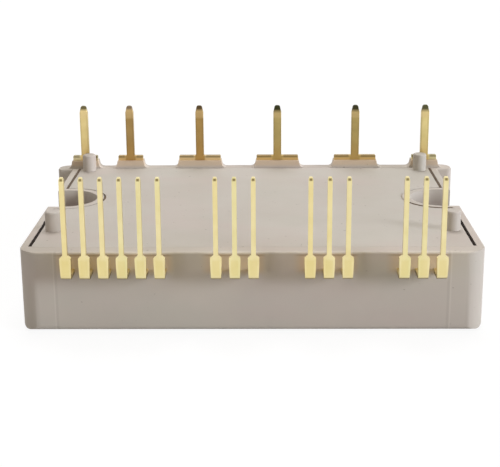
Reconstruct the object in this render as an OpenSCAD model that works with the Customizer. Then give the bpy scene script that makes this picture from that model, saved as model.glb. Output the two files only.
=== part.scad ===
// Power module with six main terminals along the back and fifteen control pins along the front.
// +Z up, +Y to the back. The origin is the centre of the heatsink face.

/* [Case] */
// Width of the case between its side walls
case_w = 64.8; // [58:0.1:66]
// Depth of the case from front face to rear face
case_d = 49.5; // [44:0.1:56]
// Height of the case top above the heatsink face
case_h = 11.7; // [10:0.05:14]
// Radius of the case corners seen from above
corner_r = 3; // [1:0.1:4]
// Radius along the top edges of the case
top_edge_r = 0.3; // [0.2:0.05:0.8]
// Radius along the bottom edges of the case
foot_edge_r = 0.8; // [0.2:0.05:1]
// Thickness of the side walls below the lid
side_wall_t = 3.1; // [2.6:0.1:3.5]
// Thickness of the front and rear walls below the lid
end_wall_t = 3.5; // [3:0.1:4.5]
// Gap between the heatsink face and the moulding's lower edge
moulding_lift = 0.15; // [0.05:0.05:0.5]
// Width over the two ears of the rear wall
ear_span = 70; // [67:0.1:74]
// Thickness of the ears, front to back
ear_t = 3.1; // [2:0.1:4]
// Radius of the ears' rear corners
ear_r = 2.3; // [0.5:0.1:3]
// Radius of the ears' front corners
ear_front_r = 0.9; // [0.3:0.1:1.5]

/* [Screw slots] */
// Distance between the two screw holes
screw_pitch = 60; // [54:0.1:62]
// Distance of the screw holes behind the middle of the case
screw_y = 2.7; // [-4:0.1:6]
// Diameter of the screw holes
screw_d = 4.4; // [3.2:0.1:5.4]
// Radius of the U-shaped slots
slot_r = 4.8; // [4:0.1:5.5]
// Wall of the collar round each slot
collar_t = 1.1; // [0.8:0.1:1.6]
// Gap between the base plate's lugs and the slots
lug_gap = 0.2; // [0.1:0.05:0.4]

/* [Base plate] */
// Thickness of the base plate
base_t = 2; // [1.5:0.1:3]
// Width of the moulded skirt round the base plate
skirt_t = 1.4; // [1:0.1:2]
// Glue gap between base plate and skirt
skirt_gap = 0.1; // [0.05:0.05:0.3]

/* [Lid] */
// Thickness of the lid
lid_t = 1.6; // [1.2:0.1:2]
// Width of the rim in front of and behind the lid
end_rim = 2.3; // [2:0.1:2.6]
// Width of the rim beside the lid
side_rim = 1.12; // [0.7:0.02:1.4]
// Fitting gap between lid and rim
lid_gap = 0.06; // [0.04:0.01:0.12]
// Extra width of the open slits along the lid's sides
slit_w = 0.4; // [0.15:0.05:0.5]
// Distance from the lid's ends to its slits
slit_end = 0.4; // [0.3:0.1:2]
// Depth of the glue grooves in the side walls under the slits
groove_depth = 1.6; // [0.5:0.1:3]
// Gap between lid and slot collars
collar_gap = 0.3; // [0.15:0.05:0.5]

/* [Lid posts] */
// Diameter of the posts
post_d = 2.3; // [1.5:0.1:3]
// Height of the posts above the lid
post_h = 2.9; // [1:0.05:5]
// Radius on the posts' top edge
post_edge_r = 0.3; // [0.1:0.05:0.7]
// Half the distance between left and right posts
post_x = 29.15; // [27:0.05:29.4]
// Distance of the front posts from the front face
front_post_y = 10.5; // [5:0.1:14]
// Distance of the rear posts from the rear face
rear_post_y = 3.8; // [3.7:0.1:8]

/* [Control pins] */
// Pitch of the pin row
pin_pitch = 2.54; // [2:0.01:2.8]
// Side of the square pins
pin_t = 0.64; // [0.4:0.01:0.8]
// Height of the pin tips above the heatsink face
pin_top = 23.1; // [18:0.05:28]
// Distance of the pins' centre line in front of the case
pin_reach = 2.8; // [2:0.1:4]
// Sideways offset of the pin row's middle
pin_row_x = 0.28; // [-1:0.01:1]
// Width of the pins' feet
foot_w = 1.54; // [1:0.02:1.7]
// Plastic between the leads in the front wall and the lid
lead_cover = 0.76; // [0.2:0.01:1]
// Height of the feet, up to the taper
foot_h = 3.15; // [1.5:0.05:4]
// How far the feet's sides are drawn in below their shoulders
foot_waist = 0.1; // [0:0.02:0.2]
// Height of the feet's wide shoulders
foot_shoulder_h = 0.75; // [0.3:0.05:1]
// Length of the taper between foot and pin
foot_taper = 0.35; // [0.2:0.05:1]
// Outer radius of the leads' bends
pin_bend_r = 0.85; // [0.7:0.05:1.3]
// Length of the chamfered tips
tip_h = 0.35; // [0.2:0.05:1]

/* [Power terminals] */
// Thickness of the terminal strip
blade_t = 0.8; // [0.5:0.05:1.2]
// Width of the terminal pins
blade_w = 1.4; // [1:0.05:2]
// Height of the terminal tips above the heatsink face
blade_top = 22.85; // [18:0.05:28]
// Length of the terminals' tapered tips
blade_tip_h = 1.2; // [0.5:0.05:2]
// Radius of the terminals' top corners
blade_tip_r = 0.4; // [0.1:0.05:0.4]
// Distance of the terminals' centre plane from the rear face
blade_y = 1.3; // [1:0.05:1.6]
// Width of the narrow shoulders
narrow_w = 4.4; // [3:0.1:5]
// Width of the wide shoulders
wide_w = 7.4; // [5:0.1:9]
// Height of the shoulders above the bosses
shoulder_h = 0.85; // [0.4:0.05:1.5]
// Height of the bosses above the case top
boss_h = 1.3; // [0.5:0.05:2]
// Plastic beside the shoulders at the top of a boss
boss_side = 0.1; // [0.1:0.05:0.5]
// How far a boss widens on each side from its top to its foot
boss_flare = 0.25; // [0.2:0.05:0.8]
// Fillet at the foot of a boss
boss_r = 0.8; // [0.2:0.05:1]
// Depth of the bosses, front to back
boss_d = 2.2; // [1.6:0.1:2.3]

/* [Inside] */
// Thickness of the ceramic
ceramic_t = 0.64; // [0.38:0.01:1]
// Width of the ceramic
ceramic_w = 46; // [40:0.5:47]
// Depth of the ceramic
ceramic_d = 26; // [22:0.5:27]
// Distance from the rear wall to the ceramic
ceramic_room = 2.25; // [2:0.05:4]
// Thickness of the copper on both faces of the ceramic
copper_t = 0.3; // [0.2:0.05:0.4]
// Bare ceramic round the copper
copper_edge = 0.6; // [0.3:0.1:1]
// Bare ceramic between neighbouring tracks
track_gap = 0.8; // [0.5:0.1:1.2]
// Side of the transistor chips
igbt_w = 4.2; // [3:0.1:5]
// Side of the diode chips
diode_w = 3; // [2:0.1:4]
// Thickness of the chips
chip_t = 0.35; // [0.2:0.05:0.5]
// Diameter of the bond wires
wire_d = 0.3; // [0.2:0.05:0.4]
// Spacing of neighbouring bond wires
wire_pitch = 0.9; // [0.6:0.1:1.2]
// Height of the terminals' bonding feet above the base plate
bond_foot_z = 1.6; // [1.3:0.1:2.5]
// Gap between the bonding feet and the ceramic, seen from above
bond_foot_gap = 0.65; // [0.4:0.05:1]
// Width of the bonding feet
bond_foot_w = 3; // [2:0.1:4]
// Height of the control board's underside above the base plate
board_z = 3.6; // [3.2:0.1:4]
// Thickness of the control board
board_t = 0.8; // [0.6:0.1:1.2]
// Distance from the phase tracks forward to the control board
board_setback = 3.65; // [3:0.05:5]
// Height of the gel above the base plate
gel_h = 3.4; // [3:0.1:3.5]

/* [Hidden] */
$fn = 48;
far = 200;

front_y = -case_d / 2;
rear_y = case_d / 2;
inner_w = case_w - 2 * side_wall_t;
cavity_front = front_y + end_wall_t;
cavity_rear = rear_y - end_wall_t;
lid_z = case_h - lid_t;
collar_r = slot_r + collar_t;
screw_x = screw_pitch / 2;
lid_side = case_w / 2 - side_rim;
slit_front = front_y + end_rim + slit_end;
slit_l = case_d - 2 * (end_rim + slit_end);
foot_z = lid_z - lead_cover - pin_t;
// The base plate's lugs end in line with the ears, and always ring their screw holes
lug_r = slot_r - lug_gap;
lug_x = max(screw_x, ear_span / 2 - lug_r);

// Places on the pin row's grid that hold a pin: one group of six and three groups of three
pin_places = [0, 1, 2, 3, 4, 5, 8, 9, 10, 13, 14, 15, 18, 19, 20];
pin_names = [for (i = [1:len(pin_places)]) str("control_pin_", i < 10 ? "0" : "", i)];
first_pin_x = pin_row_x - pin_pitch * max(pin_places) / 2;

// Power terminals from left to right: place and shoulder width
terminal_x = [-30.2, -22.1, -9.7, 4.1, 17.9, 30.2];
terminal_w = [narrow_w, narrow_w, wide_w, wide_w, wide_w, narrow_w];
terminal_names = [for (i = [1:len(terminal_x)]) str("power_terminal_", i)];
// The outer terminals' bonding feet lie further in, clear of the side walls
foot_shift_limit = inner_w / 2 - bond_foot_w / 2 - 0.4;
function bond_foot_x(i) = max(-foot_shift_limit, min(foot_shift_limit, terminal_x[i]));

// Layers above the base plate
ceramic_z = base_t + copper_t;
track_z = ceramic_z + ceramic_t;
chip_z = track_z + copper_t;
wire_z = chip_z + chip_t;
board_w = inner_w - 1;
board_front = cavity_front + 0.5;
ceramic_y = cavity_rear - ceramic_room - ceramic_d / 2;
shelf_w = 2;

// Copper pattern: a positive bar at the back, three phase pads, an L-shaped negative track
pattern_w = ceramic_w - 2 * copper_edge;
pattern_d = ceramic_d - 2 * copper_edge;
pattern_x = -pattern_w / 2;
pattern_y = ceramic_y - pattern_d / 2;
negative_w = 3;
negative_d = 5;
positive_d = 7;
phase_d = pattern_d - negative_d - positive_d - 2 * track_gap;
bar_x = pattern_x + negative_w + track_gap;
bar_w = pattern_w - negative_w - track_gap;
phase_w = (bar_w - 2 * track_gap) / 3;
phase_y = pattern_y + negative_d + track_gap;
positive_y = phase_y + phase_d + track_gap;
phases = ["u", "v", "w"];
function phase_x(i) = bar_x + i * (phase_w + track_gap);
board_d = phase_y - board_setback - board_front;
chip_gap = 1.2;
chip_edge = 0.9;

// Chips in pairs: even numbers sit on the positive bar, odd ones on the phase pads
chip_pairs = 2 * len(phases);
function pair_x(i) = phase_x(floor(i / 2)) + phase_w / 2;
function pair_row_y(i) = i % 2 == 0 ? positive_y : phase_y;
function igbt_x(i) = pair_x(i) - (chip_gap + diode_w) / 2;
function diode_x(i) = pair_x(i) + (chip_gap + igbt_w) / 2;
function igbt_y(i) = pair_row_y(i) + chip_edge + igbt_w / 2;
function diode_y(i) = pair_row_y(i) + chip_edge + diode_w / 2;
igbt_names = [for (i = [1:chip_pairs]) str("igbt_chip_", i)];
diode_names = [for (i = [1:chip_pairs]) str("diode_chip_", i)];

// Bond wires: radius of their bends, distance of their feet from an edge, height of their loops
wire_bend = 0.5;
wire_landing = 0.7;
chip_wire_rise = 0.8;
terminal_wire_rise = 0.7;
board_top = base_t + board_z + board_t;
bond_foot_top = base_t + bond_foot_z + blade_t;
bond_foot_end = ceramic_y + ceramic_d / 2 + bond_foot_gap;
// The two left terminals are negative, the three wide ones the phases, the last one positive
function terminal_landing(i) =
    i < 2 ? [pattern_x + negative_w / 2, pattern_y + pattern_d - wire_landing - (1 - i) * positive_d]
    : i < 5 ? [terminal_x[i], phase_y + phase_d - 3 * wire_landing]
    : [bar_x + bar_w - 2 * wire_landing, pattern_y + pattern_d - 2 * wire_landing];

driver_names = [for (i = [1:4]) str("driver_ic_", i)];
driver_w = 7;
driver_d = 5;
driver_h = 1.3;

plastic = "#c9c2b6";
gold = "#dccb84";
nickel = "#b9bcc0";
copper = "#c07a4f";

// A rectangle about the origin with rounded corners
module rounded_rect(w, d, r) {
    for (side = [-1, 1], end = [-1, 1])
        translate([side * (w / 2 - r), end * (d / 2 - r)]) circle(r);
    square([w - 2 * r, d], center = true);
    square([w, d - 2 * r], center = true);
}

// An upright outline with its foot on z = 0, wide w, high h, rounded at head and foot
module rounded_face(w, h, head_r, foot_r) {
    for (side = [-1, 1]) {
        translate([side * (w / 2 - head_r), h - head_r]) circle(head_r);
        translate([side * (w / 2 - foot_r), foot_r]) circle(foot_r);
    }
    translate([head_r - w / 2, foot_r]) square([w - 2 * head_r, h - foot_r]);
    translate([foot_r - w / 2, 0]) square([w - 2 * foot_r, h - head_r]);
    translate([-w / 2, foot_r]) square([w, h - head_r - foot_r]);
}

// A moulded block on the plan given as a child, with rounded top and bottom edges all round
module moulded_block(w, d, h, head_r, foot_r) {
    intersection() {
        linear_extrude(h) children();
        rotate([90, 0, 0]) linear_extrude(d, center = true) rounded_face(w, h, head_r, foot_r);
        rotate([90, 0, 90]) linear_extrude(w, center = true) rounded_face(d, h, head_r, foot_r);
    }
}

// Outline of one U-shaped slot, open to the right-hand side
module slot_outline(r, reach) {
    circle(r);
    translate([0, -r]) square([reach, 2 * r]);
}

module at_slots() {
    for (side = [0, 1]) mirror([side, 0, 0]) translate([screw_x, screw_y, 0]) children();
}

// Plan of the base plate: a rounded plate with a lug round each screw hole
module base_outline(grow = 0) {
    rounded_rect(case_w - 2 * (skirt_t + skirt_gap - grow), case_d - 2 * (skirt_t + skirt_gap - grow),
                 corner_r - 0.5);
}

module base_plate() {
    color(nickel) difference() {
        linear_extrude(base_t) {
            base_outline();
            translate([0, screw_y]) for (side = [-1, 1]) {
                translate([side * lug_x, 0]) circle(lug_r);
                translate([side * lug_x / 2, 0]) square([lug_x, 2 * lug_r], center = true);
            }
        }
        at_slots() translate([0, 0, -1]) cylinder(d = screw_d, h = base_t + 2);
    }
}

// Front view of a boss, from its half width at the top down to a fillet along each side of its foot
module boss_outline(top) {
    foot = top + boss_flare;
    lean = atan2(boss_h, boss_flare);
    touch = boss_r * tan(lean / 2);
    polygon([[-top, boss_h], [top, boss_h], [foot, 0],
             [foot, -top_edge_r], [-foot, -top_edge_r], [-foot, 0]]);
    for (side = [0, 1]) mirror([side, 0]) difference() {
        polygon([[foot - touch * cos(lean), touch * sin(lean)], [foot, -top_edge_r],
                 [foot + touch, -top_edge_r], [foot + touch, boss_r]]);
        translate([foot + touch, boss_r]) circle(boss_r);
    }
}

// Boss that carries the shoulder of terminal i
module boss(i) {
    translate([terminal_x[i], rear_y - blade_y, case_h])
        rotate([90, 0, 0]) linear_extrude(boss_d, center = true)
            boss_outline(terminal_w[i] / 2 + boss_side);
}

// Plan of the two ears, with large rear corners and smaller front ones
module ear_outline() {
    intersection() {
        translate([0, -ear_t / 2]) rounded_rect(ear_span, 2 * ear_t, ear_r);
        translate([0, ear_t / 2]) rounded_rect(ear_span, 2 * ear_t, ear_front_r);
    }
}

module case_shell() {
    translate([0, 0, moulding_lift]) {
        moulded_block(case_w, case_d, case_h - moulding_lift, top_edge_r, foot_edge_r)
            rounded_rect(case_w, case_d, corner_r);
        translate([0, rear_y - ear_t / 2, 0])
            moulded_block(ear_span, ear_t, case_h - moulding_lift, top_edge_r, foot_edge_r)
                ear_outline();
    }
    for (i = [0:len(terminal_x) - 1]) boss(i);
}

// Space inside the case, without the collars round the slots
module cavity_outline() {
    difference() {
        translate([-inner_w / 2, cavity_front]) square([inner_w, cavity_rear - cavity_front]);
        at_slots() slot_outline(collar_r, far);
    }
}

// Plan of the recess that takes the lid, without the collars
module lid_outline(gap) {
    recess_w = case_w - 2 * side_rim;
    recess_d = case_d - 2 * end_rim;
    difference() {
        rounded_rect(recess_w - 2 * gap, recess_d - 2 * gap, corner_r / 2);
        at_slots() slot_outline(collar_r + (gap > 0 ? collar_gap : 0), far);
    }
}

// Shelves along the side walls that carry the control board
module board_shelves() {
    shelf_d = board_d + 0.5;
    for (side = [-1, 1])
        translate([side * (inner_w / 2 - shelf_w / 2), cavity_front + shelf_d / 2, base_t + board_z / 2])
            cube([shelf_w, shelf_d, board_z], center = true);
}

// Grooves for the lid's glue, open under the slits and ended by the slot collars
module glue_grooves() {
    translate([0, 0, lid_z - groove_depth]) linear_extrude(far) difference() {
        slits();
        at_slots() slot_outline(collar_r, far);
    }
}

// Plan of the open slits along the lid's sides
module slits() {
    for (side = [0, 1]) mirror([side, 0])
        translate([lid_side - lid_gap - slit_w, slit_front]) square([lid_gap + slit_w, slit_l]);
}

module case_frame() {
    color(plastic) difference() {
        case_shell();
        difference() {
            translate([0, 0, -1]) linear_extrude(far) cavity_outline();
            board_shelves();
        }
        translate([0, 0, -1]) linear_extrude(base_t + 1) base_outline(skirt_gap);
        translate([0, 0, lid_z]) linear_extrude(far) lid_outline(0);
        glue_grooves();
        at_slots() translate([0, 0, -1]) linear_extrude(far) slot_outline(slot_r, far);
        control_leads();
        power_blades();
    }
}

module lid() {
    color(plastic) {
        translate([0, 0, lid_z]) linear_extrude(lid_t) difference() {
            lid_outline(lid_gap);
            slits();
        }
        for (side = [-1, 1], y = [front_y + front_post_y, rear_y - rear_post_y])
            translate([side * post_x, y, case_h - lid_t / 2]) post();
    }
}

// A post from the middle of the lid upwards, with a rounded top edge
module post() {
    h = post_h + lid_t / 2;
    rotate_extrude() {
        square([post_d / 2, h - post_edge_r]);
        square([post_d / 2 - post_edge_r, h]);
        translate([post_d / 2 - post_edge_r, h - post_edge_r]) intersection() {
            circle(post_edge_r);
            square(post_edge_r);
        }
    }
}

// Quarter bend of a strip of thickness t with outer radius r: it comes down at -x and leaves along +x
module quarter_bend(t, r) {
    intersection() {
        difference() {
            circle(r);
            circle(r - t);
        }
        translate([-r, -r]) square(r);
    }
}

// Side view of a control lead: pin in front, bar through the wall, leg down to the board
module lead_side() {
    outer_y = front_y - pin_reach;
    leg_y = board_front + 1.2;
    bend = pin_bend_r;
    translate([outer_y - pin_t / 2, foot_z + bend]) square([pin_t, pin_top - foot_z - bend - tip_h]);
    translate([outer_y, pin_top - tip_h]) tip_outline(pin_t, tip_h);
    translate([outer_y - pin_t / 2 + bend, foot_z]) square([leg_y - outer_y - 2 * bend + pin_t, pin_t]);
    translate([leg_y - pin_t / 2, board_top]) square([pin_t, foot_z + pin_t - bend - board_top]);
    translate([outer_y - pin_t / 2 + bend, foot_z + bend]) quarter_bend(pin_t, bend);
    translate([leg_y + pin_t / 2 - bend, foot_z + pin_t - bend]) rotate(180) quarter_bend(pin_t, bend);
}

// Chamfered tip of a strip of width w and length h, standing on y = 0
module tip_outline(w, h) {
    polygon([[-w / 2, 0], [w / 2, 0], [0.31 * w, h], [-0.31 * w, h]]);
}

// Front view of a control lead: a wide foot with drawn-in sides, a taper and the pin
module lead_front() {
    wide = foot_w / 2;
    waist = wide - foot_waist;
    foot_top = foot_z + foot_h;
    shoulder_z = foot_top - foot_shoulder_h;
    neck_z = foot_top + foot_taper;
    polygon([[-waist, foot_z], [waist, foot_z], [wide, shoulder_z], [wide, foot_top],
             [pin_t / 2, neck_z], [-pin_t / 2, neck_z], [-wide, foot_top], [-wide, shoulder_z]]);
    translate([-pin_t / 2, board_top]) square([pin_t, pin_top - tip_h - board_top]);
    translate([0, pin_top - tip_h]) tip_outline(pin_t, tip_h);
}

module control_lead(i) {
    reach = pin_reach + end_wall_t + 4;
    translate([first_pin_x + pin_places[i] * pin_pitch, 0, 0]) intersection() {
        rotate([90, 0, 90]) linear_extrude(2 * foot_w, center = true) lead_side();
        translate([0, front_y + end_wall_t + 4, 0])
            rotate([90, 0, 0]) linear_extrude(2 * reach) lead_front();
    }
}

module control_leads() {
    for (i = [0:len(pin_places) - 1]) control_lead(i);
}

module control_pin(i) {
    color(gold) control_lead(i);
}

// Side view of a power terminal: an upright blade with a foot turned into the case
module blade_side() {
    y = rear_y - blade_y;
    z = base_t + bond_foot_z;
    bend = 2 * blade_t;
    translate([y - blade_t / 2, z + bend]) square([blade_t, blade_top - blade_tip_h - z - bend]);
    translate([y, blade_top - blade_tip_h]) tip_outline(blade_t, blade_tip_h);
    translate([bond_foot_end, z]) square([y + blade_t / 2 - bend - bond_foot_end, blade_t]);
    translate([y + blade_t / 2 - bend, z + bend]) mirror([1, 0]) quarter_bend(blade_t, bend);
}

// Front view of a terminal's tip, from its root at y = 0: tapered, with rounded corners
module blade_tip() {
    top = 0.37 * blade_w;
    polygon([[-blade_w / 2, 0], [blade_w / 2, 0], [top, blade_tip_h - blade_tip_r],
             [top - blade_tip_r, blade_tip_h], [blade_tip_r - top, blade_tip_h],
             [-top, blade_tip_h - blade_tip_r]]);
    for (side = [-1, 1]) translate([side * (top - blade_tip_r), blade_tip_h - blade_tip_r])
        circle(blade_tip_r);
}

// Front view of terminal i: bonding foot, plate in the wall, shoulder and pin
module blade_front(i) {
    z = base_t + bond_foot_z;
    shoulder_top = case_h + boss_h + shoulder_h;
    edge = 0.2;
    root = min(z + 3 * blade_t, lid_z);
    translate([bond_foot_x(i) - bond_foot_w / 2, z]) square([bond_foot_w, root + 1 - z]);
    translate([terminal_x[i], 0]) {
        translate([-terminal_w[i] / 2, root]) square([terminal_w[i], shoulder_top - edge - root]);
        translate([edge - terminal_w[i] / 2, root]) square([terminal_w[i] - 2 * edge, shoulder_top - root]);
        for (side = [-1, 1])
            translate([side * (terminal_w[i] / 2 - edge), shoulder_top - edge]) circle(edge);
        translate([-blade_w / 2, shoulder_top - edge])
            square([blade_w, blade_top - blade_tip_h - shoulder_top + edge]);
        translate([0, blade_top - blade_tip_h]) blade_tip();
    }
}

module power_blade(i) {
    intersection() {
        rotate([90, 0, 90]) linear_extrude(2 * ear_span, center = true) blade_side();
        translate([0, far / 2, 0]) rotate([90, 0, 0]) linear_extrude(far) blade_front(i);
    }
}

module power_blades() {
    for (i = [0:len(terminal_x) - 1]) power_blade(i);
}

module power_terminal(i) {
    color(gold) power_blade(i);
}

// A flat sheet with its corner at x, y
module sheet(x, y, z, w, d, t) {
    translate([x, y, z]) cube([w, d, t]);
}

module back_copper() {
    color(copper) sheet(pattern_x, pattern_y, base_t, pattern_w, pattern_d, copper_t);
}

module ceramic_substrate() {
    color("white") translate([0, ceramic_y, ceramic_z + ceramic_t / 2])
        cube([ceramic_w, ceramic_d, ceramic_t], center = true);
}

module positive_track() {
    color(copper) sheet(bar_x, positive_y, track_z, bar_w, positive_d, copper_t);
}

module negative_track() {
    color(copper) {
        sheet(pattern_x, pattern_y, track_z, negative_w, pattern_d, copper_t);
        sheet(pattern_x, pattern_y, track_z, pattern_w, negative_d, copper_t);
    }
}

module phase_track(i) {
    color(copper) sheet(phase_x(i), phase_y, track_z, phase_w, phase_d, copper_t);
}

module chip(x, y, w) {
    translate([x, y, chip_z + chip_t / 2]) cube([w, w, chip_t], center = true);
}

module igbt_chip(i) {
    color("#6d7078") chip(igbt_x(i), igbt_y(i), igbt_w);
}

module diode_chip(i) {
    color("#7d8088") chip(diode_x(i), diode_y(i), diode_w);
}

// One bond wire along +Y from its foot at the origin: up, a flat loop, and down past its start by drop
module bond_wire(span, rise, drop) {
    stub = rise - wire_bend;
    cylinder(d = wire_d, h = stub, $fn = 16);
    translate([0, wire_bend, stub]) rotate([0, 90, 0]) rotate([0, 0, 180])
        rotate_extrude(angle = 90) translate([wire_bend, 0]) circle(d = wire_d, $fn = 16);
    translate([0, wire_bend, rise]) rotate([-90, 0, 0])
        cylinder(d = wire_d, h = span - 2 * wire_bend, $fn = 16);
    translate([0, span - wire_bend, stub]) rotate([0, 90, 0]) rotate([0, 0, 90])
        rotate_extrude(angle = 90) translate([wire_bend, 0]) circle(d = wire_d, $fn = 16);
    translate([0, span, -drop]) cylinder(d = wire_d, h = stub + drop, $fn = 16);
}

// A row of parallel wires from one point to another
module bond_row(from, to, count, rise) {
    run = [to[0] - from[0], to[1] - from[1]];
    for (k = [0:count - 1])
        translate(from) rotate([0, 0, -atan2(run[0], run[1])])
            translate([(k - (count - 1) / 2) * wire_pitch, 0, 0])
                bond_wire(norm(run), rise, from[2] - to[2]);
}

// Wires from the chips' top faces to the next track towards the front
module chip_wires(i) {
    landing = pair_row_y(i) - track_gap - wire_landing;
    bond_row([igbt_x(i), igbt_y(i), wire_z], [igbt_x(i), landing, chip_z], 2, chip_wire_rise);
    bond_row([diode_x(i), diode_y(i), wire_z], [diode_x(i), landing, chip_z], 1, chip_wire_rise);
}

// One gate wire from the board's rear edge to a transistor, upper and lower ones side by side
module gate_wire(i) {
    x = igbt_x(i) - igbt_w / 2 + (i % 2 + 0.5) * wire_landing;
    bond_row([x, board_front + board_d - wire_landing, board_top],
             [x, igbt_y(i) - igbt_w / 2 + wire_landing, wire_z], 1, chip_wire_rise);
}

// Wires from a terminal's bonding foot to its track
module terminal_wires(i) {
    foot = [bond_foot_x(i), bond_foot_end + wire_landing, bond_foot_top];
    to = terminal_landing(i);
    bond_row(foot, [to[0], to[1], chip_z], 2, terminal_wire_rise);
}

module bond_wires() {
    color("#d8d8d8") {
        for (i = [0:chip_pairs - 1]) {
            chip_wires(i);
            gate_wire(i);
        }
        for (i = [0:len(terminal_x) - 1]) terminal_wires(i);
    }
}

module control_board() {
    color("#2f6b46") sheet(-board_w / 2, board_front, base_t + board_z, board_w, board_d, board_t);
}

module driver_ic(i) {
    pitch = board_w / len(driver_names);
    x = (i - (len(driver_names) - 1) / 2) * pitch;
    y = board_front + board_d - driver_d / 2 - 2;
    color("#2b2b2d") translate([x, y, board_top + driver_h / 2])
        cube([driver_w, driver_d, driver_h], center = true);
}

// Soft filling over the chips and wires, up to just under the board
module silicone_gel() {
    color("#e8e8e4") difference() {
        translate([0, 0, base_t]) linear_extrude(gel_h) cavity_outline();
        board_shelves();
        back_copper();
        ceramic_substrate();
        positive_track();
        negative_track();
        for (i = [0:len(phases) - 1]) phase_track(i);
        for (i = [0:chip_pairs - 1]) {
            igbt_chip(i);
            diode_chip(i);
        }
        bond_wires();
        power_blades();
    }
}

base_plate();
case_frame();
lid();
for (i = [0:len(pin_names) - 1])
    control_pin(i);
for (i = [0:len(terminal_names) - 1])
    power_terminal(i);
back_copper();
ceramic_substrate();
positive_track();
negative_track();
for (i = [0:len(phases) - 1])
    phase_track(i);
for (i = [0:chip_pairs - 1]) {
    igbt_chip(i);
    diode_chip(i);
}
bond_wires();
control_board();
for (i = [0:len(driver_names) - 1])
    driver_ic(i);
silicone_gel();
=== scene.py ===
"""A beige-grey moulded power module with gold-plated solder pins, on a white table in soft daylight."""
import math

import bpy
from mathutils import Matrix, Vector


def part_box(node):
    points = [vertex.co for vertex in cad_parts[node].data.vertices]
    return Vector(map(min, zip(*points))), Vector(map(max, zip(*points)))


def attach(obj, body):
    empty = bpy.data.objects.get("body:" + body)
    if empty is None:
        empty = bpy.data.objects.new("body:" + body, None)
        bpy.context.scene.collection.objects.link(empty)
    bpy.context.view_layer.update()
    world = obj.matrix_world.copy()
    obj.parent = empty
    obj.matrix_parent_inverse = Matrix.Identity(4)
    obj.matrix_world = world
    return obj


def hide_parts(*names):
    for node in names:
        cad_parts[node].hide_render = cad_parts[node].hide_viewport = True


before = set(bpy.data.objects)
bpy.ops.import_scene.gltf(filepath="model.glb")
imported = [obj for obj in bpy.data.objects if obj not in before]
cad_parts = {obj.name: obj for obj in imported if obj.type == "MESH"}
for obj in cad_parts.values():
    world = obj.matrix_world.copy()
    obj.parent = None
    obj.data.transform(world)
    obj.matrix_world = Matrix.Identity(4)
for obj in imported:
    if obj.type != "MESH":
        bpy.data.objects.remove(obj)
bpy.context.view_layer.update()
MM = 0.001


# --- Camera -----------------------------------------------------------------------------------
# A long lens in front of the module and a little above it, turned a touch to the left.

CASE_LOW, CASE_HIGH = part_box("case_frame")
CAMERA_RISE = 59.85 * MM
CAMERA_BACK = 143.3 * MM
CAMERA_SIDE = 1.7 * MM
CAMERA_TILT = math.radians(90 - 15.0)
CAMERA_TURN = math.radians(0.75)
CAMERA_ROLL = math.radians(-0.35)
LENS = 79.3
LENS_SHIFT = -0.1

bpy.ops.object.select_all(action="DESELECT")
bpy.ops.object.camera_add(location=(CAMERA_SIDE, CASE_LOW.y - CAMERA_BACK, CAMERA_RISE))
camera = bpy.context.object
camera.name = "camera"
camera.rotation_euler = (Matrix.Rotation(CAMERA_TURN, 3, "Z") @ Matrix.Rotation(CAMERA_TILT, 3, "X")
                         @ Matrix.Rotation(CAMERA_ROLL, 3, "Z")).to_euler()
camera.data.sensor_width = 36
camera.data.lens = LENS
camera.data.shift_y = LENS_SHIFT
camera.data.clip_start = 10 * MM
camera.data.clip_end = 20
bpy.context.scene.camera = camera


# --- Moulded case -----------------------------------------------------------------------------
# A frame of glass-filled resin, pressed in a spark-eroded mould, so it is beige-grey and satin.
# Its sharp edges are worn to a hair's breadth, and the mould's inserts leave faint lines on its front.

def srgb(red, green, blue):
    """Linear colour of an sRGB colour given in steps of 255."""
    def linear(step):
        part = step / 255
        return part / 12.92 if part <= 0.04045 else ((part + 0.055) / 1.055) ** 2.4
    return (linear(red), linear(green), linear(blue), 1)


# Sockets of a Mix node that mixes colours
MIX_FACTOR, MIX_FIRST, MIX_SECOND, MIX_RESULT = 0, 6, 7, 2


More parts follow.
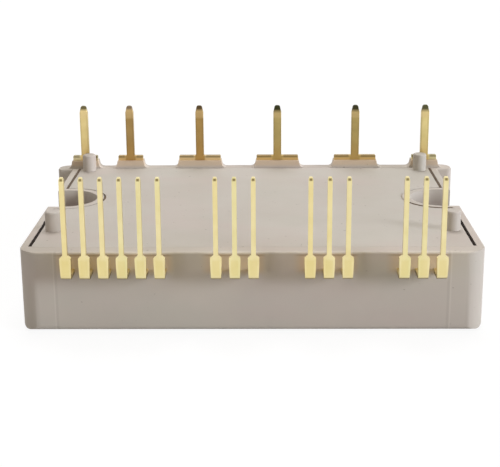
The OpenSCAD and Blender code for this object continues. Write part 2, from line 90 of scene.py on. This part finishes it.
class Finish:
    """A procedural material under construction: patterns are added to it one by one."""

    def __init__(self, name, roughness, metallic=0.0):
        self.material = bpy.data.materials.new(name)
        self.material.use_nodes = True
        self.tree = self.material.node_tree
        self.shader = self.tree.nodes["Principled BSDF"]
        self.shader.inputs["Roughness"].default_value = roughness
        self.shader.inputs["Metallic"].default_value = metallic
        self.place = self.tree.nodes.new("ShaderNodeTexCoord").outputs["Object"]

    def node(self, kind, links=None, **inputs):
        """A node with some inputs set and some linked."""
        node = self.tree.nodes.new(kind)
        for name, value in inputs.items():
            node.inputs[name].default_value = value
        for name, source in (links or {}).items():
            self.tree.links.new(source, node.inputs[name])
        return node

    def math(self, operation, first, second):
        """Arithmetic on two patterns or numbers."""
        node = self.tree.nodes.new("ShaderNodeMath")
        node.operation = operation
        for slot, value in enumerate((first, second)):
            if isinstance(value, (int, float)):
                node.inputs[slot].default_value = value
            else:
                self.tree.links.new(value, node.inputs[slot])
        return node.outputs[0]

    def stretched(self, across, along, up):
        """Coordinates that pull a pattern out along one way."""
        mapping = self.node("ShaderNodeMapping", {"Vector": self.place})
        mapping.inputs["Scale"].default_value = (across, along, up)
        return mapping.outputs["Vector"]

    def noise(self, scale, detail=3.0, vector=None):
        """Noise that is fixed to the piece."""
        return self.node("ShaderNodeTexNoise", {"Vector": vector or self.place},
                         Scale=scale, Detail=detail).outputs["Fac"]

    def ramp(self, factor, *stops):
        """A colour that goes through the stops, each a position and a colour."""
        node = self.node("ShaderNodeValToRGB", {"Fac": factor})
        elements = node.color_ramp.elements
        while len(elements) < len(stops):
            elements.new(0.5)
        for element, (position, colour) in zip(elements, stops):
            element.position = position
            element.color = colour if isinstance(colour, tuple) else (colour, colour, colour, 1)
        return node.outputs["Color"]

    def mix(self, factor, first, second):
        """One colour over another."""
        node = self.tree.nodes.new("ShaderNodeMix")
        node.data_type = "RGBA"
        for slot, value in ((MIX_FACTOR, factor), (MIX_FIRST, first), (MIX_SECOND, second)):
            if isinstance(value, (int, float, tuple)):
                node.inputs[slot].default_value = value
            else:
                self.tree.links.new(value, node.inputs[slot])
        return node.outputs[MIX_RESULT]

    def product(self, *patterns):
        """Patterns or numbers multiplied together."""
        total = patterns[0]
        for pattern in patterns[1:]:
            total = self.math("MULTIPLY", total, pattern)
        return total

    def tint(self, tone, colour, strength, *patterns):
        """A tone with another colour over it where all the patterns are high."""
        return self.mix(self.product(*patterns, strength), tone, colour)

    def coordinate(self, axis):
        """One coordinate in the module's own frame, in metres."""
        return self.node("ShaderNodeSeparateXYZ", {"Vector": self.place}).outputs[axis]

    def band(self, value, zero, one):
        """0 to 1 as a value goes from one place to another, and level beyond them."""
        node = self.node("ShaderNodeMapRange", {"Value": value})
        node.inputs["From Min"].default_value = zero
        node.inputs["From Max"].default_value = one
        return node.outputs["Result"]

    def across(self):
        """Distance beside the piece's own upright, in millimetres, kept on its points."""
        node = self.tree.nodes.new("ShaderNodeAttribute")
        node.attribute_name = "across"
        return self.math("ABSOLUTE", node.outputs["Fac"], 0)

    def colour(self, pattern):
        """The colour of the surface."""
        self.tree.links.new(pattern, self.shader.inputs["Base Color"])

    def gloss(self, pattern, low, high):
        """Roughness that goes from low to high with a pattern."""
        spread = self.math("MULTIPLY_ADD", pattern, high - low)
        spread.node.inputs[2].default_value = low
        self.tree.links.new(spread, self.shader.inputs["Roughness"])

    def relief(self, height, strength, distance):
        """Bumps from a height pattern."""
        bump = self.node("ShaderNodeBump", {"Height": height}, Strength=strength, Distance=distance)
        self.tree.links.new(bump.outputs["Normal"], self.shader.inputs["Normal"])


SAME_POINT = 0.002 * MM
SAME_PLANE = math.radians(0.5)
SHARP_EDGE = math.radians(30)
SMOOTH_EDGE = math.radians(35)


def dressed(node, name, width, material):
    """A copy of a CAD node as a piece of its own, with its sharp edges rounded by a bevel."""
    bpy.ops.object.select_all(action="DESELECT")
    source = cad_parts[node]
    piece = bpy.data.objects.new(name, source.data.copy())
    bpy.context.collection.objects.link(piece)
    bpy.context.view_layer.objects.active = piece
    piece.select_set(True)
    piece.data.materials.clear()
    piece.data.materials.append(material)
    bpy.ops.object.mode_set(mode="EDIT")
    bpy.ops.mesh.select_all(action="SELECT")
    bpy.ops.mesh.remove_doubles(threshold=SAME_POINT)
    bpy.ops.mesh.dissolve_limited(angle_limit=SAME_PLANE)
    bpy.ops.object.mode_set(mode="OBJECT")
    bevel = piece.modifiers.new("worn edges", "BEVEL")
    bevel.width = width
    bevel.segments = 2
    bevel.limit_method = "ANGLE"
    bevel.angle_limit = SHARP_EDGE
    bevel.use_clamp_overlap = True
    bpy.ops.object.modifier_apply(modifier=bevel.name)
    bpy.ops.object.shade_smooth_by_angle(angle=SMOOTH_EDGE)
    flat = piece.modifiers.new("flat faces", "WEIGHTED_NORMAL")
    flat.weight = 100
    flat.keep_sharp = True
    bpy.ops.object.modifier_apply(modifier=flat.name)
    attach(piece, "root")
    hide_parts(node)
    return piece


def moulded_resin(finish, first, second):
    """Satin resin: slow clouds, tiny fibres, rare dark specks and uneven gloss."""
    tone = finish.ramp(finish.noise(70, 4), (0.35, first), (0.65, second))
    clouds = finish.noise(95, 3, finish.stretched(0.6, 1, 1.6))
    tone = finish.mix(finish.ramp(clouds, (0.50, 0.0), (0.68, 0.30)), tone, srgb(204, 186, 180))
    tone = finish.mix(finish.ramp(clouds, (0.34, 0.30), (0.48, 0.0)), tone, srgb(192, 190, 178))
    fibres = finish.noise(2600, 2, finish.stretched(1, 0.35, 1))
    tone = finish.mix(finish.ramp(fibres, (0.62, 0.0), (0.8, 0.35)), tone, second)
    specks = finish.noise(1500, 1)
    tone = finish.mix(finish.ramp(specks, (0.76, 0.0), (0.80, 0.4)), tone, srgb(120, 108, 94))
    finish.gloss(finish.noise(350, 3), 0.50, 0.66)
    finish.shader.inputs["Specular IOR Level"].default_value = 0.35
    return tone


CASE_FRONT = CASE_LOW.y
CASE_SIDE = CASE_HIGH.x
BOSS_HEIGHT = 1.3 * MM
CASE_TOP = CASE_HIGH.z - BOSS_HEIGHT
INSERT_LINE = 27.4 * MM
SLOT_SIDE = 30 * MM
SLOT_Y = 2.7 * MM
PIN_GROUPS = ((0, 5), (6, 8), (9, 11), (12, 14))
AWAY_FROM_PINS = 0.03
RESIN_GRAIN = 5200

case_finish = Finish("case resin", 0.5)
case_tone = moulded_resin(case_finish, srgb(202, 193, 182), srgb(197, 189, 179))
case_across = case_finish.coordinate("X")
case_along = case_finish.coordinate("Y")
case_up = case_finish.coordinate("Z")
beside_middle = case_finish.math("ABSOLUTE", case_across, 0)
on_front = case_finish.band(case_along, CASE_FRONT + 0.6 * MM, CASE_FRONT + 0.4 * MM)


def case_level(zero, one):
    """0 to 1 between two heights, both in millimetres from the top of the case."""
    return case_finish.band(case_up, CASE_TOP + zero * MM, CASE_TOP + one * MM)


def front_line(place, half, soft):
    """A thin upright line at the same distance on each side of the front's middle."""
    distance = case_finish.math("ABSOLUTE", case_finish.math("SUBTRACT", beside_middle, place), 0)
    return case_finish.product(case_finish.band(distance, half + soft, half), on_front)


pin_nodes = [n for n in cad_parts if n.startswith("control_pin")]
group_stops = []
for first, last in PIN_GROUPS:
    low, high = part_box(pin_nodes[first])[0].x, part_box(pin_nodes[last])[1].x
    for place, value in ((low - 1.5 * MM, AWAY_FROM_PINS), (low - 0.3 * MM, 1.0),
                         (high + 0.2 * MM, 1.0), (high + 1.0 * MM, AWAY_FROM_PINS)):
        group_stops.append(((place + CASE_SIDE) / (2 * CASE_SIDE), value))
near_pins = case_finish.ramp(case_finish.band(case_across, -CASE_SIDE, CASE_SIDE), *group_stops)

# Painted warm light, reflected from the gold feet onto the front behind them
patchy = case_finish.ramp(case_finish.noise(260, 2), (0.25, 0.6), (0.75, 1.0))
case_tone = case_finish.tint(case_tone, srgb(206, 168, 120), 0.46,
                             case_level(-3.4, -2.6), case_level(-0.1, -0.4),
                             case_finish.band(beside_middle, 28.6 * MM, 27.0 * MM),
                             on_front, near_pins, patchy)

# Painted shade low in the screw slots
plan = case_finish.node("ShaderNodeCombineXYZ", {"X": beside_middle, "Y": case_along})
from_slot = case_finish.tree.nodes.new("ShaderNodeVectorMath")
from_slot.operation = "DISTANCE"
case_finish.tree.links.new(plan.outputs["Vector"], from_slot.inputs[0])
from_slot.inputs[1].default_value = (SLOT_SIDE, SLOT_Y, 0)
case_tone = case_finish.tint(case_tone, srgb(116, 92, 78), 0.45, case_level(-0.3, -2.2),
                             case_finish.band(from_slot.outputs["Value"], 5.0 * MM, 4.9 * MM))

# Painted warm reflection of the gold on the front of the bosses
case_tone = case_finish.tint(case_tone, srgb(222, 190, 148), 0.45, case_level(0.1, 0.7),
                             case_finish.band(case_along, CASE_HIGH.y - 0.6 * MM, CASE_HIGH.y - 1.4 * MM))

# The front's top edge: a painted highlight, with a line of painted shade under it near the pins
case_tone = case_finish.tint(case_tone, srgb(226, 217, 206), 0.45, case_level(-0.32, -0.14),
                             case_finish.band(case_along, CASE_FRONT + 0.55 * MM, CASE_FRONT + 0.25 * MM))
case_tone = case_finish.tint(case_tone, srgb(112, 88, 66), 0.38,
                             case_level(-0.66, -0.48), case_level(-0.28, -0.38), on_front, near_pins)

# Raised lines left by the mould's inserts, each dull on its inner side
witness = front_line(INSERT_LINE, 0.05 * MM, 0.08 * MM)
case_tone = case_finish.tint(case_tone, srgb(120, 108, 96), 0.12,
                             front_line(INSERT_LINE - 0.30 * MM, 0.10 * MM, 0.12 * MM))
case_tone = case_finish.tint(case_tone, srgb(222, 214, 204), 0.30, witness)

case_finish.colour(case_tone)
case_relief = case_finish.math("ADD", case_finish.noise(RESIN_GRAIN, 2), case_finish.product(witness, 2))
case_finish.relief(case_relief, 0.10, 0.02 * MM)
dressed("case_frame", "moulded_case", 0.06 * MM, case_finish.material)


# --- Lid --------------------------------------------------------------------------------------
# A separate plate of the same resin, glued into the rim of the case, with four posts moulded on it.

lid_finish = Finish("lid resin", 0.5)
lid_finish.colour(moulded_resin(lid_finish, srgb(195, 188, 178), srgb(201, 195, 186)))
lid_finish.relief(lid_finish.noise(RESIN_GRAIN, 2), 0.10, 0.02 * MM)
dressed("lid", "moulded_lid", 0.06 * MM, lid_finish.material)


# --- Painted shade in the lid's gaps ----------------------------------------------------------
# Dark beads laid in the grooves along the lid's sides and round the slots, as painted shade in these gaps.
# They are nearly black and fill the grooves to the brim in front, and are thin and brown elsewhere. On the
# inner side of one slot they take the lid's colour.

RING_RADIUS = 6.05 * MM
RING_THICKNESS = 0.46 * MM
RING_SINK = 0.13 * MM
GAP_SHADE_SIDE = 31.05 * MM
GAP_SHADE_DEPTH = 2.4 * MM
GAP_SHADE_CROWN = 0.02 * MM
# Side, start and end along the side, and width
GAP_SHADE_RUNS = ((-1, -22.0 * MM, -3.5 * MM, 0.44 * MM), (1, -22.0 * MM, -3.5 * MM, 0.27 * MM),
             (-1, 8.9 * MM, 22.0 * MM, 0.36 * MM), (1, 8.9 * MM, 22.0 * MM, 0.34 * MM))
# Side, and the foremost and rearmost place from the slot's middle
GAP_SHADE_RINGS = ((-1, -1.1 * MM, 1.0 * MM), (1, -7 * MM, 2.6 * MM))

# Nearly black in front and brown further back, as painted shade, and the lid's colour on the inner side of
# one slot
gap_shade = Finish("painted gap shade", 0.6)
gap_shade.shader.inputs["Specular IOR Level"].default_value = 0.05
gap_shade_tone = gap_shade.ramp(gap_shade.noise(900, 3), (0.3, srgb(22, 14, 9)), (0.7, srgb(40, 29, 20)))
gap_shade_across = gap_shade.coordinate("X")
gap_shade_tone = gap_shade.mix(gap_shade.band(gap_shade.coordinate("Y"), -5.5 * MM, -3.8 * MM), gap_shade_tone, srgb(112, 98, 84))
lid_coloured = gap_shade.product(gap_shade.band(gap_shade_across, 24.75 * MM, 24.5 * MM), gap_shade.band(gap_shade_across, 0, 1 * MM))
gap_shade.colour(gap_shade.mix(lid_coloured, gap_shade_tone, srgb(190, 181, 169)))
gap_shade.gloss(gap_shade.noise(1500, 2), 0.5, 0.7)
gap_shade.relief(gap_shade.noise(1200, 2), 0.3, 0.05 * MM)


def gap_shade_run(side, start, end, width):
    """A straight bead in a side groove, with slightly uneven sides and a round top."""
    middle = (side * GAP_SHADE_SIDE, (start + end) / 2, CASE_TOP + GAP_SHADE_CROWN - GAP_SHADE_DEPTH / 2)
    bpy.ops.object.select_all(action="DESELECT")
    bpy.ops.mesh.primitive_cube_add(size=1, location=middle, scale=(width, end - start, GAP_SHADE_DEPTH))
    bead = bpy.context.object
    bpy.ops.object.transform_apply(location=True, rotation=True, scale=True)
    bpy.ops.object.mode_set(mode="EDIT")
    bpy.ops.mesh.select_mode(type="EDGE")
    bpy.ops.mesh.select_all(action="DESELECT")
    bpy.ops.object.mode_set(mode="OBJECT")
    points = bead.data.vertices
    for edge in bead.data.edges:
        low, high = (points[i].co for i in edge.vertices)
        edge.select = abs(high.y - low.y) > (end - start) / 2
    bpy.ops.object.mode_set(mode="EDIT")
    bpy.ops.mesh.subdivide(number_cuts=24)
    bpy.ops.mesh.select_mode(type="VERT")
    bpy.ops.mesh.select_all(action="SELECT")
    bpy.ops.transform.vertex_random(offset=width / 4, seed=3)
    bpy.ops.object.mode_set(mode="OBJECT")
    round_top = bead.modifiers.new("round top", "BEVEL")
    round_top.width = 0.08 * MM
    round_top.segments = 3
    bpy.ops.object.modifier_apply(modifier=round_top.name)
    return bead


def gap_shade_ring(side, front, back):
    """The dark bead of painted shade round a slot's collar, between its foremost and rearmost place."""
    bpy.ops.object.select_all(action="DESELECT")
    bpy.ops.mesh.primitive_torus_add(location=(side * SLOT_SIDE, SLOT_Y, CASE_TOP - RING_SINK),
                                     major_segments=120, minor_segments=10,
                                     major_radius=RING_RADIUS, minor_radius=RING_THICKNESS / 2)
    bead = bpy.context.object
    bpy.ops.object.transform_apply(location=True, rotation=True, scale=True)
    bpy.ops.object.mode_set(mode="EDIT")
    for place, outward in (((side * GAP_SHADE_SIDE, 0, 0), (side, 0, 0)), ((0, SLOT_Y + front, 0), (0, -1, 0)),
                           ((0, SLOT_Y + back, 0), (0, 1, 0))):
        bpy.ops.mesh.select_all(action="SELECT")
        bpy.ops.mesh.bisect(plane_co=place, plane_no=outward, use_fill=True, clear_outer=True)
    bpy.ops.object.mode_set(mode="OBJECT")
    return bead


beads = [gap_shade_run(*run) for run in GAP_SHADE_RUNS] + [gap_shade_ring(*ring) for ring in GAP_SHADE_RINGS]
bpy.ops.object.select_all(action="DESELECT")
for bead in beads:
    bead.select_set(True)
bpy.context.view_layer.objects.active = beads[0]
bpy.ops.object.join()
gap_shade_beads = bpy.context.object
gap_shade_beads.name = "gap_shade_beads"
bpy.ops.object.shade_smooth_by_angle(angle=math.radians(50))
gap_shade_beads.data.materials.append(gap_shade.material)
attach(gap_shade_beads, "root")


# --- Control pins -----------------------------------------------------------------------------
# Fifteen pins stamped from copper strip and bent, plated with a thin pale gold over nickel.
# Their feet carry painted highlights along their edges, and their chamfered tips and their bends carry
# painted shade.

def plated_gold(finish, deep, pale):
    """Thin gold plating with the draw lines of the strip under it."""
    lines = finish.noise(900, 2, finish.stretched(9, 9, 0.3))
    finish.gloss(lines, 0.30, 0.44)
    finish.relief(lines, 0.06, 0.01 * MM)
    return finish.ramp(finish.noise(500, 3), (0.3, deep), (0.7, pale))


def remember_middle(piece, node):
    """Keeps each point's distance beside the piece's own upright, in millimetres, for its finish."""
    low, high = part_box(node)
    points = [v.co.x for v in piece.data.vertices if v.co.z > high.z - 3 * MM]
    middle = (min(points) + max(points)) / 2
    across = piece.data.attributes.new("across", "FLOAT", "POINT")
    across.data.foreach_set("value", [(v.co.x - middle) / MM for v in piece.data.vertices])


PIN_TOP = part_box("control_pin_01")[1].z
FOOT_BOTTOM = min(v.co.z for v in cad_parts["control_pin_01"].data.vertices if v.co.y < CASE_FRONT)

pin_finish = Finish("pin gold", 0.36, 1.0)
pin_tone = plated_gold(pin_finish, srgb(226, 211, 156), srgb(235, 222, 172))
pin_up = pin_finish.coordinate("Z")
across_pin = pin_finish.across()


def pin_level(base, zero, one):
    """0 to 1 between two heights, both in millimetres from a base height."""
    return pin_finish.band(pin_up, base + zero * MM, base + one * MM)


# Redder and greener gold from pin to pin
batch = pin_finish.noise(170, 1, pin_finish.stretched(1, 0.2, 0.2))
pin_tone = pin_finish.mix(pin_finish.ramp(batch, (0.52, 0.0), (0.66, 0.4)), pin_tone, srgb(228, 208, 140))
pin_tone = pin_finish.mix(pin_finish.ramp(batch, (0.36, 0.4), (0.50, 0.0)), pin_tone, srgb(218, 214, 152))

# The middle of the foot a deeper gold, leaving painted highlights along its edges; painted shade on the
# chamfer of the tip and on the bend
pin_tone = pin_finish.tint(pin_tone, srgb(216, 198, 126), 0.40, pin_finish.band(across_pin, 0.62, 0.42),
                           pin_level(FOOT_BOTTOM, 3.1, 2.7), pin_level(FOOT_BOTTOM, 0.5, 0.8))
pin_tone = pin_finish.tint(pin_tone, srgb(138, 122, 80), 1.0, pin_finish.band(across_pin, 0.27, 0.12),
                           pin_level(PIN_TOP, -0.56, -0.42), pin_level(PIN_TOP, -0.12, -0.20))
pin_tone = pin_finish.tint(pin_tone, srgb(126, 106, 62), 0.75, pin_level(FOOT_BOTTOM, 0.40, 0.18))
pin_finish.colour(pin_tone)
for node in pin_nodes:
    pin = dressed(node, node.replace("control", "plated_control"), 0.05 * MM,
                  pin_finish.material)
    remember_middle(pin, node)


# --- Power terminals --------------------------------------------------------------------------
# Six blades of thicker strip with a deeper gold, pressed into the bosses along the rear wall.
# Each blade has its own gold, with painted shade along its edges and a tip darker than its faces.

BLADE_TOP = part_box("power_terminal_1")[1].z
SHOULDER_HEIGHT = 0.85 * MM
SHOULDER_TOP = CASE_HIGH.z + SHOULDER_HEIGHT


def terminal_plating(name, deep, pale, shoulder_tone, tip_tone, tip_length):
    """Deep gold on the faces, painted shade along the edges, pale under the tip and dark on it."""
    finish = Finish(name, 0.34, 1.0)
    tone = plated_gold(finish, deep, pale)
    up = finish.coordinate("Z")
    across = finish.across()

    def level(base, zero, one):
        """0 to 1 between two heights, both in millimetres from a base height."""
        return finish.band(up, base + zero * MM, base + one * MM)

    tone = finish.tint(tone, shoulder_tone, 0.85, finish.band(across, 0.75, 1.0))
    tone = finish.tint(tone, srgb(206, 158, 88), 0.35, level(SHOULDER_TOP, 3.5, 0),
                       finish.band(across, 0.9, 0.6))
    # Painted shade along the blade's edges and along the top of the shoulder
    blade_edge_shade = finish.product(level(SHOULDER_TOP, -0.05, 0.1), finish.band(across, 0.40, 0.68), 0.42)
    shoulder_edge_shade = finish.product(level(SHOULDER_TOP, -0.50, -0.28), level(SHOULDER_TOP, 0.15, 0),
                                   finish.band(across, 0.8, 1.2), 0.62)
    tone = finish.mix(finish.math("MAXIMUM", blade_edge_shade, shoulder_edge_shade), tone, srgb(96, 82, 52))
    tone = finish.tint(tone, srgb(222, 196, 146), 0.40, level(BLADE_TOP, -2.4, -2.0))
    tip = finish.band(up, BLADE_TOP - tip_length, BLADE_TOP - tip_length / 2)
    finish.colour(finish.mix(tip, tone, tip_tone))
    return finish.material


# Deep and pale gold, shoulder, tip, and length of the dark tip
golds = [terminal_plating("terminal gold " + name, *tones) for name, *tones in (
    ("1", srgb(216, 194, 132), srgb(226, 206, 146), srgb(206, 196, 160), srgb(104, 96, 66), 0.9 * MM),
    ("2", srgb(172, 142, 90), srgb(182, 152, 98), srgb(224, 194, 138), srgb(126, 108, 84), 0.8 * MM),
    ("3", srgb(178, 146, 89), srgb(190, 158, 100), srgb(236, 212, 164), srgb(88, 72, 48), 1.0 * MM),
    ("4", srgb(184, 165, 108), srgb(196, 177, 118), srgb(222, 190, 130), srgb(58, 58, 36), 1.35 * MM),
    ("5", srgb(180, 160, 102), srgb(192, 172, 112), srgb(222, 190, 130), srgb(62, 60, 38), 1.3 * MM),
    ("6", srgb(214, 196, 132), srgb(226, 208, 146), srgb(206, 198, 158), srgb(86, 84, 58), 1.3 * MM))]
for node, gold in zip([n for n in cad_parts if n.startswith("power_terminal")], golds):
    blade = dressed(node, node.replace("power", "plated_power"), 0.07 * MM, gold)
    remember_middle(blade, node)


# --- Base plate -------------------------------------------------------------------------------
# A nickel-plated copper plate, rolled and then punched, so fine lines run along it.

nickel = Finish("nickel plating", 0.34, 1.0)
rolled = nickel.noise(700, 3, nickel.stretched(0.12, 6, 6))
nickel.colour(nickel.ramp(rolled, (0.3, srgb(186, 187, 189)), (0.7, srgb(205, 206, 207))))
nickel.gloss(rolled, 0.26, 0.42)
nickel.relief(rolled, 0.08, 0.01 * MM)
dressed("base_plate", "nickel_base_plate", 0.12 * MM, nickel.material)


# --- Substrate and chips ----------------------------------------------------------------------
# White ceramic with copper bonded to both faces, and silicon chips soldered on the upper copper.

def paint(nodes, material):
    """Gives CAD nodes their finished material."""
    for node in nodes:
        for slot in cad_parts[node].material_slots:
            slot.material = material


ceramic = Finish("fired ceramic", 0.45)
ceramic.colour(ceramic.ramp(ceramic.noise(1200, 3), (0.3, srgb(236, 235, 230)), (0.7, srgb(244, 243, 239))))
ceramic.relief(ceramic.noise(4000, 2), 0.1, 0.01 * MM)
paint(["ceramic_substrate"], ceramic.material)

copper = Finish("bonded copper", 0.38, 1.0)
copper_grain = copper.noise(1500, 4)
copper.colour(copper.ramp(copper_grain, (0.3, srgb(196, 122, 86)), (0.7, srgb(214, 146, 108))))
copper.gloss(copper_grain, 0.28, 0.46)
paint([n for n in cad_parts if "track" in n or n == "back_copper"], copper.material)

silicon = Finish("chip metal", 0.25, 0.9)
silicon_grain = silicon.noise(2500, 2)
silicon.colour(silicon.ramp(silicon_grain, (0.35, srgb(110, 112, 118)), (0.65, srgb(134, 136, 141))))
silicon.gloss(silicon.noise(800, 2), 0.18, 0.32)
paint([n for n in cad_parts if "_chip_" in n], silicon.material)


# --- Bond wires -------------------------------------------------------------------------------
# Drawn aluminium wires, welded to chips, copper and terminals by ultrasound.

aluminium = Finish("drawn aluminium", 0.3, 1.0)
drawn = aluminium.noise(3000, 2)
aluminium.colour(aluminium.ramp(drawn, (0.3, srgb(214, 215, 217)), (0.7, srgb(230, 231, 232))))
aluminium.gloss(drawn, 0.24, 0.38)
paint(["bond_wires"], aluminium.material)


# --- Control board ----------------------------------------------------------------------------
# A green glass laminate that carries four driver circuits in black moulded resin.

laminate = Finish("green laminate", 0.35)
weave = laminate.noise(1800, 2, laminate.stretched(1, 0.2, 1))
laminate.colour(laminate.ramp(weave, (0.35, srgb(32, 84, 54)), (0.65, srgb(42, 104, 66))))
laminate.relief(weave, 0.08, 0.02 * MM)
paint(["control_board"], laminate.material)

black_resin = Finish("black resin", 0.55)
black_resin.colour(black_resin.ramp(black_resin.noise(1500, 3), (0.3, srgb(32, 32, 34)),
                                    (0.7, srgb(46, 46, 48))))
black_resin.relief(black_resin.noise(5000, 2), 0.12, 0.02 * MM)
paint([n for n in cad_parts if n.startswith("driver_ic")], black_resin.material)


# --- Gel --------------------------------------------------------------------------------------
# Clear soft silicone, poured over the chips and wires against moisture and sparks.

gel = Finish("silicone gel", 0.12)
gel.colour(gel.ramp(gel.noise(200, 2), (0.3, srgb(232, 232, 226)), (0.7, srgb(242, 242, 238))))
gel.shader.inputs["Transmission Weight"].default_value = 0.85
gel.shader.inputs["IOR"].default_value = 1.41
paint(["silicone_gel"], gel.material)


# --- Table and light --------------------------------------------------------------------------
# A white table, a bright sky all round, one broad low lamp from the right, and two weak ones that
# soften its shadows from the front left and from above.

def lamp(name, place, aim, energy, size, colour):
    """A square lamp that points at a place on the module."""
    bpy.ops.object.light_add(type="AREA", location=place)
    light = bpy.context.object
    light.name = name
    light.rotation_euler = (Vector(aim) - Vector(place)).to_track_quat("-Z", "Y").to_euler()
    light.data.energy = energy
    light.data.size = size
    light.data.color = colour


def seen_directly(tree):
    """1 for what the camera, a mirror or a clear body sees, 0 for what lights the module."""
    path = tree.nodes.new("ShaderNodeLightPath")
    total = path.outputs["Is Camera Ray"]
    for other in ("Is Glossy Ray", "Is Transmission Ray"):
        node = tree.nodes.new("ShaderNodeMath")
        node.operation = "MAXIMUM"
        tree.links.new(total, node.inputs[0])
        tree.links.new(path.outputs[other], node.inputs[1])
        total = node.outputs[0]
    return total


TABLE_SIZE = 6
TABLE_DROP = 0.2 * MM
TABLE_WHITENESS = 0.75

bpy.ops.mesh.primitive_plane_add(size=TABLE_SIZE, location=(0, 0, -TABLE_DROP))
table = bpy.context.object
table.name = "table"
table_white = bpy.data.materials.new("table white")
table_white.use_nodes = True
table_tree = table_white.node_tree
table_shader = table_tree.nodes["Principled BSDF"]
table_shader.inputs["Base Color"].default_value = (0.5, 0.5, 0.5, 1)
table_shader.inputs["Roughness"].default_value = 0.9
table_glow = table_tree.nodes.new("ShaderNodeEmission")
table_glow.inputs["Strength"].default_value = 1.2
table_seen = table_tree.nodes.new("ShaderNodeMath")
table_seen.operation = "MULTIPLY"
table_seen.inputs[1].default_value = TABLE_WHITENESS
table_tree.links.new(seen_directly(table_tree), table_seen.inputs[0])
table_mix = table_tree.nodes.new("ShaderNodeMixShader")
table_tree.links.new(table_seen.outputs[0], table_mix.inputs["Fac"])
table_tree.links.new(table_shader.outputs["BSDF"], table_mix.inputs[1])
table_tree.links.new(table_glow.outputs["Emission"], table_mix.inputs[2])
table_tree.links.new(table_mix.outputs["Shader"], table_tree.nodes["Material Output"].inputs["Surface"])
table.data.materials.append(table_white)

KEY_DISTANCE = 2.4
KEY_TURN = math.radians(67)
KEY_RISE = math.radians(14)
MIDDLE = (0, 0, 5 * MM)
lamp("key", (KEY_DISTANCE * math.sin(KEY_TURN), -KEY_DISTANCE * math.cos(KEY_TURN),
             KEY_DISTANCE * math.tan(KEY_RISE)), MIDDLE, 50.0, 0.8, (0.87, 0.915, 1.0))
lamp("front fill", (-0.75, -1.10, 0.25), MIDDLE, 1.7, 0.6, (1.0, 0.965, 0.94))
lamp("sky light", (0.0, 0.30, 0.85), (0, 0, 0), 4.55, 0.5, (0.985, 0.985, 1.0))

SKY_LIGHT = (0.245, 0.209, 0.168, 1)
SKY_SEEN = (1, 1, 1, 1)
world = bpy.data.worlds.new("sky")
bpy.context.scene.world = world
world.use_nodes = True
sky_tree = world.node_tree
sky = sky_tree.nodes["Background"]
sky_tone = sky_tree.nodes.new("ShaderNodeMix")
sky_tone.data_type = "RGBA"
sky_tone.inputs[MIX_FIRST].default_value = SKY_LIGHT
sky_tone.inputs[MIX_SECOND].default_value = SKY_SEEN
sky_tree.links.new(seen_directly(sky_tree), sky_tone.inputs[MIX_FACTOR])
sky_tree.links.new(sky_tone.outputs[MIX_RESULT], sky.inputs["Color"])

bpy.context.scene.view_settings.view_transform = "Standard"
